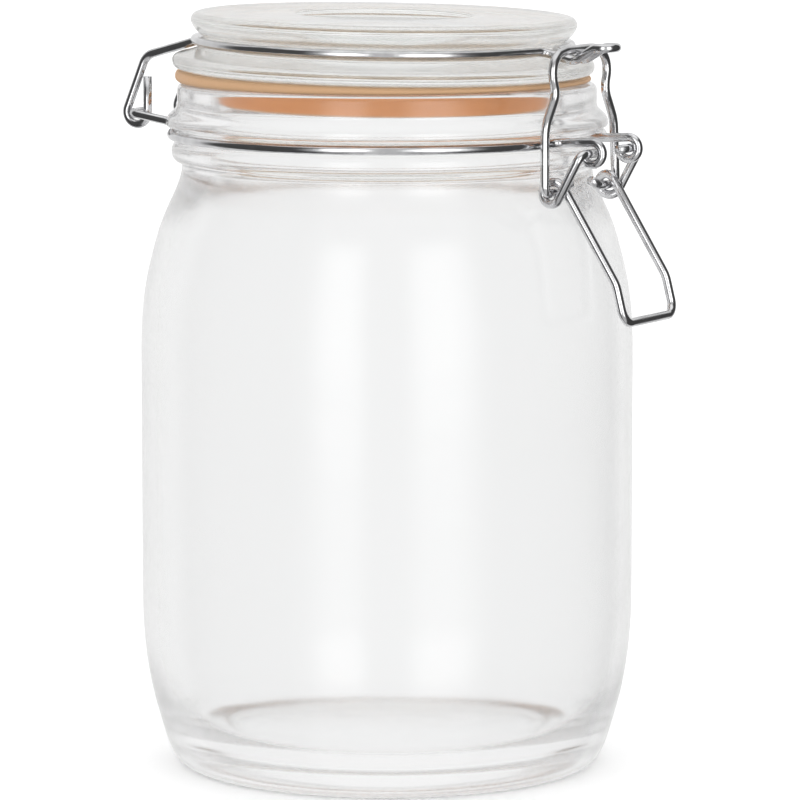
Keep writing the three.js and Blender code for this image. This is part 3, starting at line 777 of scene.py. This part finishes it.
class CLIPJAR_OT_seal(bpy.types.Operator):
    """Turns the rubber seal: a flat ring that bulges where it is squeezed, with a lip inside the mouth"""

    bl_idname = "clip_jar.seal"
    bl_label = "Rubber seal"

    def execute(self, context):
        size = settings().lid
        bottom = settings().jar.rim_height + size.fit_gap
        top = size.flange_bottom - size.fit_gap
        bore = size.plug_radius + size.fit_gap
        middle = (bottom + top) / 2
        outer = size.seal_radius - size.seal_bulge
        outline = Outline(bore, size.seal_lip_bottom)
        outline.line(size.seal_tip_radius - size.seal_bulge, size.seal_lip_bottom)
        outline.round((size.seal_tip_radius, size.seal_lip_bottom),
                      (size.seal_tip_radius, size.seal_lip_bottom + size.seal_bulge))
        outline.line(size.seal_lip_radius, bottom)
        outline.line(outer - size.seal_bulge, bottom)
        outline.round((outer + size.seal_bulge, bottom), (size.seal_radius, middle))
        outline.round((outer + size.seal_bulge, top), (outer - size.seal_bulge, top))
        outline.line(outer - size.seal_bulge * 2, top)
        outline.line(bore, top)
        mesh = turned(outline, closed=True)
        edge_mark = mesh.verts.layers.float.new(SEAL_EDGE)
        lip_mark = mesh.verts.layers.float.new(SEAL_LIP)
        for point in mesh.verts:
            radius = point.co.xy.length
            if radius > outer - size.seal_bulge - WELD_DISTANCE:
                point[edge_mark] = 1
            elif radius > bore + WELD_DISTANCE and point.co.z < middle:
                point[lip_mark] = min((point.co.z - size.seal_lip_bottom) / size.seal_bulge, 1)
            # The top and the lip lean with the lid, and the ring's underside stays on the level rim
            away = point.co.z - bottom
            share = away / (top - bottom) if away > 0 else away / (size.seal_lip_bottom - bottom)
            point.co.z += share * math.tan(size.tilt) * point.co.y
        bmesh.ops.translate(mesh, verts=mesh.verts, vec=(0, size.shift, 0))
        finished(mesh, "rubber_seal", rubber_material(), "lid", "seal")
        return {"FINISHED"}


class CLIPJAR_OT_neck_wire(bpy.types.Operator):
    """Bends the wire round the neck, with its eyes at the front and its hinge pins at the back"""

    bl_idname = "clip_jar.neck_wire"
    bl_label = "Neck wire"

    def execute(self, context):
        size = settings().wires
        turn_in = math.asin(size.eye_side / size.neck_ring_radius)
        ring_y = -size.neck_ring_radius * math.cos(turn_in)
        leg_height = size.eye[1] + size.eye_radius - size.eye_leg_drop
        half = loop(size.eye, size.eye_radius, FRONT, -math.pi, QUARTER, size.eye_side, size.eye_side)
        half.append(corner(size.eye_side, ring_y, leg_height, size.ring_end_bend))
        half += ring(size.neck_ring_radius, 0, lambda y: size.neck_ring_height,
                     turn_in - QUARTER + RING_END_ANGLE, QUARTER)[:-1]
        mesh = bmesh.new()
        wire(mesh, bent(mirrored(half)), size.neck_wire)
        root_y = math.sqrt(size.neck_ring_radius ** 2 - size.hinge_arm_side ** 2)
        for side in (1, -1):
            arm_x = side * size.hinge_arm_side
            wire(mesh, bent([
                corner(arm_x, root_y, size.neck_ring_height),
                corner_at(BACK, arm_x, size.hinge_knee, size.hinge_knee_bend),
                corner_at(BACK, arm_x, size.hinge, size.hinge_pin_bend),
                corner_at(BACK, side * size.hinge_pin_tip, size.hinge),
            ]), size.neck_wire)
        finished(mesh, "neck_wire_bent", wire_material(), "jar", "neck_wire")
        return {"FINISHED"}


class CLIPJAR_OT_lid_wire(bpy.types.Operator):
    """Bends the wire round the lid, with its hooks at the hinge and its hairpin tongue at the front"""

    bl_idname = "clip_jar.lid_wire"
    bl_label = "Lid wire"

    def execute(self, context):
        size = settings().wires
        lid = settings().lid
        slope = math.tan(lid.tilt)

        def height(y):
            return lid.groove_height + slope * (y - lid.shift)

        hook_from = tangent_angle(size.hinge, size.hook_radius, size.hook_stub, 1)
        hook_to = tangent_angle(size.hinge, size.hook_radius, size.hook_bend, -1) + FULL_TURN
        back_turn = math.acos(size.hook_side / size.lid_ring_radius)
        front_turn = -math.acos(size.tongue_side / size.lid_ring_radius)
        back_y = lid.shift + size.lid_ring_radius * math.sin(back_turn)
        front_y = lid.shift + size.lid_ring_radius * math.sin(front_turn)
        half = [corner_at(BACK, size.hook_side, size.hook_stub)]
        half += loop(size.hinge, size.hook_radius, BACK, hook_from, hook_to, size.hook_side, size.hook_side)
        half.append(corner_at(BACK, size.hook_side, size.hook_bend, size.hook_bend_radius))
        half.append(corner(size.hook_side, back_y, height(back_y) - size.hook_arm_drop, size.ring_end_bend))
        half += ring(size.lid_ring_radius, lid.shift, height,
                     back_turn - RING_END_ANGLE, front_turn + RING_END_ANGLE)
        half.append(corner(size.tongue_side, front_y, height(front_y), size.tongue_bend))
        half.append(corner_at(FRONT, size.tongue_side, size.tongue_dip, size.tongue_bend))
        half.append(corner_at(FRONT, size.tongue_side, size.tongue_rise, size.tongue_bend))
        half.append(corner_at(FRONT, size.tongue_side, size.tongue_tip, size.tongue_tip_bend))
        mesh = bmesh.new()
        wire(mesh, bent(mirrored(half)), size.clip_wire)
        finished(mesh, "lid_wire_bent", wire_material(), "lid", "lid_wire")
        return {"FINISHED"}


class CLIPJAR_OT_lever(bpy.types.Operator):
    """Bends the lever: pins in the eyes, a coil on each side and a looped handle"""

    bl_idname = "clip_jar.lever"
    bl_label = "Lever"

    def execute(self, context):
        size = settings().wires
        coil_from = tangent_angle(size.link_pivot, size.coil_radius, size.lever_pivot, -1)
        coil_to = tangent_angle(size.link_pivot, size.coil_radius, size.handle_knee, 1) - FULL_TURN
        half = [
            corner_at(FRONT, size.lever_pin_tip, size.lever_pivot),
            corner_at(FRONT, size.lever_arm_side, size.lever_pivot, size.lever_pin_bend),
        ]
        half += loop(size.link_pivot, size.coil_radius, FRONT, coil_from, coil_to,
                     size.lever_arm_side, size.handle_side)
        half.append(corner_at(FRONT, size.handle_side, size.handle_knee, size.handle_knee_bend))
        half.append(corner_at(FRONT, size.handle_side, size.handle_end, size.handle_end_bend))
        mesh = bmesh.new()
        wire(mesh, bent(mirrored(half)), size.clip_wire)
        finished(mesh, "lever_bent", wire_material(), "lever", "lever")
        return {"FINISHED"}


class CLIPJAR_OT_link(bpy.types.Operator):
    """Bends the link: a waisted yoke with its bar over the tongue and its feet in the lever's coils"""

    bl_idname = "clip_jar.link"
    bl_label = "Link"

    def execute(self, context):
        size = settings().wires
        pin_tip = (size.link_pivot[0], size.link_pivot[1] + size.link_pin_rise)
        arch = (size.link_top[0], size.link_arch_height)
        half = [
            corner_at(FRONT, size.link_pin_tip, pin_tip),
            corner_at(FRONT, size.link_pin_kink, size.link_pivot, size.link_foot_bend),
            corner_at(FRONT, size.link_foot_side, size.link_pivot, size.link_foot_bend),
            corner_at(FRONT, size.link_bulge_side, size.link_bulge, size.link_bulge_bend),
            corner_at(FRONT, size.link_waist_side, size.link_waist, size.link_waist_bend),
            corner_at(FRONT, size.link_top_side, size.link_top, size.link_top_bend),
            corner_at(FRONT, size.link_arch_side, arch, size.link_arch_bend),
        ]
        mesh = bmesh.new()
        wire(mesh, bent(mirrored(half)), size.clip_wire)
        finished(mesh, "link_bent", wire_material(), "link", "link")
        return {"FINISHED"}


# What polished surfaces see, at degrees to the left (-) and right (+) of the camera
ROOM = ((-180, 0.9), (-118, 0.9), (-104, 0.08), (-48, 0.08), (-36, 0.7), (42, 0.7), (54, 0.08), (128, 0.06),
        (142, 0.9), (180, 0.9))
SOFT_BOXES = ((-180, 0), (-38, 0), (-26, 1), (-16, 1), (-7, 0), (7, 0), (19, 1), (31, 1), (46, 0), (180, 0))

# How bright the soft boxes and the ceiling are, at degrees over the horizon
BOX_REACH = ((-90, 0), (-28, 0), (-20, 1), (-13, 1), (-10.5, 0.4), (-8.5, 0.4), (-6.5, 1), (26, 1), (38, 0))
CEILING = ((-90, 0), (45, 0), (62, 1.2), (90, 1.2))


def on_bearing(degrees):
    """Where a bearing lies on a radial gradient."""
    return 0.5 + degrees / 360


def on_rise(degrees):
    """Where an angle over the horizon lies on a direction's height."""
    return 0.5 + math.sin(math.radians(degrees)) / 2


class CLIPJAR_OT_stage(bpy.types.Operator):
    """Sets the pale floor, the white studio with its soft boxes, and the camera"""

    bl_idname = "clip_jar.stage"
    bl_label = "Stage"

    def execute(self, context):
        look = settings().stage
        scene = context.scene
        self.make_floor(scene, look)
        self.make_studio(scene, look)
        self.make_camera(scene, look)
        scene.view_settings.view_transform = "Standard"
        scene.cycles.max_bounces = GLASS_BOUNCES
        scene.cycles.glossy_bounces = GLASS_BOUNCES
        scene.cycles.transmission_bounces = GLASS_BOUNCES
        return {"FINISHED"}

    def make_floor(self, scene, look):
        """A wide matt floor, which glass and polished wire don't show."""
        mesh = bmesh.new()
        bmesh.ops.create_grid(mesh, x_segments=1, y_segments=1, size=look.floor_size / 2)
        data = bpy.data.meshes.new("floor")
        mesh.to_mesh(data)
        mesh.free()
        material, shader = blank_material("floor_white")[:2]
        shader.inputs["Base Color"].default_value = (*look.floor_colour, 1)
        shader.inputs["Roughness"].default_value = FLOOR_ROUGHNESS
        shader.inputs["Specular IOR Level"].default_value = 0
        data.materials.append(material)
        floor = bpy.data.objects.new("floor", data)
        floor.visible_glossy = False
        floor.visible_transmission = False
        scene.collection.objects.link(floor)

    def make_studio(self, scene, look):
        """White all round; polished surfaces see a dim room in front with two soft boxes."""
        world = bpy.data.worlds.new("studio")
        scene.world = world
        world.use_nodes = True
        nodes = world.node_tree.nodes
        link = world.node_tree.links.new
        nodes.clear()
        out = nodes.new("ShaderNodeOutputWorld")
        around = nodes.new("ShaderNodeTexCoord")
        facing = nodes.new("ShaderNodeMapping")
        away = Vector(look.camera_at) - Vector(look.camera_to)
        facing.inputs["Rotation"].default_value = (0, 0, -math.atan2(away.y, away.x))
        bearing = nodes.new("ShaderNodeTexGradient")
        bearing.gradient_type = "RADIAL"
        split = nodes.new("ShaderNodeSeparateXYZ")
        height = value_range(nodes, source=(-1, 1))
        room = self.ramp(nodes, ROOM, on_bearing)
        boxes = self.ramp(nodes, SOFT_BOXES, on_bearing)
        reach = self.ramp(nodes, BOX_REACH, on_rise)
        ceiling = self.ramp(nodes, CEILING, on_rise)
        lit = arithmetic(nodes, "MULTIPLY")
        strength = arithmetic(nodes, "MULTIPLY_ADD", look.box_light)
        brightest = arithmetic(nodes, "MAXIMUM")
        polished = nodes.new("ShaderNodeBackground")
        seen = nodes.new("ShaderNodeBackground")
        path = nodes.new("ShaderNodeLightPath")
        fill = arithmetic(nodes, "MULTIPLY_ADD", look.matt_light, look.light)
        behind_glass = arithmetic(nodes, "MULTIPLY", clamp=True)
        inside = arithmetic(nodes, "MULTIPLY_ADD", look.inside_light)
        through = arithmetic(nodes, "MULTIPLY_ADD", -look.glass_shade)
        mirrored_only = arithmetic(nodes, "SUBTRACT", clamp=True)
        both = nodes.new("ShaderNodeMixShader")
        link(around.outputs["Generated"], facing.inputs["Vector"])
        link(facing.outputs["Vector"], bearing.inputs["Vector"])
        link(around.outputs["Generated"], split.inputs["Vector"])
        link(split.outputs["Z"], height.inputs["Value"])
        for ramp in (room, boxes):
            link(bearing.outputs["Fac"], ramp.inputs["Fac"])
        for ramp in (reach, ceiling):
            link(height.outputs["Result"], ramp.inputs["Fac"])
        link(boxes.outputs["Color"], lit.inputs[0])
        link(reach.outputs["Color"], lit.inputs[1])
        link(lit.outputs["Value"], strength.inputs[0])
        link(room.outputs["Color"], strength.inputs[2])
        link(strength.outputs["Value"], brightest.inputs[0])
        link(ceiling.outputs["Color"], brightest.inputs[1])
        link(brightest.outputs["Value"], polished.inputs["Strength"])
        link(path.outputs["Is Diffuse Ray"], fill.inputs[0])
        link(path.outputs["Is Transmission Ray"], behind_glass.inputs[0])
        link(path.outputs["Diffuse Depth"], behind_glass.inputs[1])
        link(behind_glass.outputs["Value"], inside.inputs[0])
        link(fill.outputs["Value"], inside.inputs[2])
        link(path.outputs["Is Transmission Ray"], through.inputs[0])
        link(inside.outputs["Value"], through.inputs[2])
        link(through.outputs["Value"], seen.inputs["Strength"])
        link(path.outputs["Is Glossy Ray"], mirrored_only.inputs[0])
        link(path.outputs["Is Transmission Ray"], mirrored_only.inputs[1])
        link(mirrored_only.outputs["Value"], both.inputs["Fac"])
        link(seen.outputs["Background"], both.inputs[1])
        link(polished.outputs["Background"], both.inputs[2])
        link(both.outputs["Shader"], out.inputs["Surface"])
        for background in (seen, polished):
            background.inputs["Color"].default_value = (1, 1, 1, 1)

    def ramp(self, nodes, stops, scale):
        """A grey ramp through stops, which are given in the units of a scale."""
        node = nodes.new("ShaderNodeValToRGB")
        elements = node.color_ramp.elements
        while len(elements) > 1:
            elements.remove(elements[-1])
        for index, (at, grey) in enumerate(stops):
            position = scale(at)
            stop = elements[0] if index == 0 else elements.new(position)
            stop.position = position
            stop.color = (grey, grey, grey, 1)
        return node

    def make_camera(self, scene, look):
        """The camera at the photograph's viewing angle."""
        data = bpy.data.cameras.new("camera")
        data.lens = look.lens
        data.sensor_width = SENSOR_WIDTH
        data.clip_start = NEAR_CLIP
        camera = bpy.data.objects.new("camera", data)
        camera.location = look.camera_at
        toward = Vector(look.camera_to) - Vector(look.camera_at)
        camera.rotation_euler = toward.to_track_quat("-Z", "Y").to_euler()
        scene.collection.objects.link(camera)
        scene.camera = camera


class CLIPJAR_PT_panel(bpy.types.Panel):
    """Lists the clip top jar's pieces"""

    bl_idname = "CLIPJAR_PT_panel"
    bl_label = "Clip top jar"
    bl_space_type = "VIEW_3D"
    bl_region_type = "UI"
    bl_category = "Clip jar"

    def draw(self, context):
        for step in PIECES:
            self.layout.operator(step.bl_idname)


PIECES = (
    CLIPJAR_OT_stage,
    CLIPJAR_OT_jar,
    CLIPJAR_OT_lid,
    CLIPJAR_OT_seal,
    CLIPJAR_OT_neck_wire,
    CLIPJAR_OT_lid_wire,
    CLIPJAR_OT_lever,
    CLIPJAR_OT_link,
)
CLASSES = (JarSizes, LidSizes, WireSizes, Finishes, StageLook, ClipJarSettings, *PIECES, CLIPJAR_PT_panel)


def register():
    for kind in CLASSES:
        bpy.utils.register_class(kind)
    bpy.types.Scene.clip_jar = PointerProperty(type=ClipJarSettings)


def unregister():
    del bpy.types.Scene.clip_jar
    for kind in reversed(CLASSES):
        bpy.utils.unregister_class(kind)


def main():
    register()
    bpy.ops.clip_jar.stage()
    bpy.ops.clip_jar.jar()
    bpy.ops.clip_jar.lid()
    bpy.ops.clip_jar.seal()
    bpy.ops.clip_jar.neck_wire()
    bpy.ops.clip_jar.lid_wire()
    bpy.ops.clip_jar.lever()
    bpy.ops.clip_jar.link()


if __name__ == "__main__":
    main()
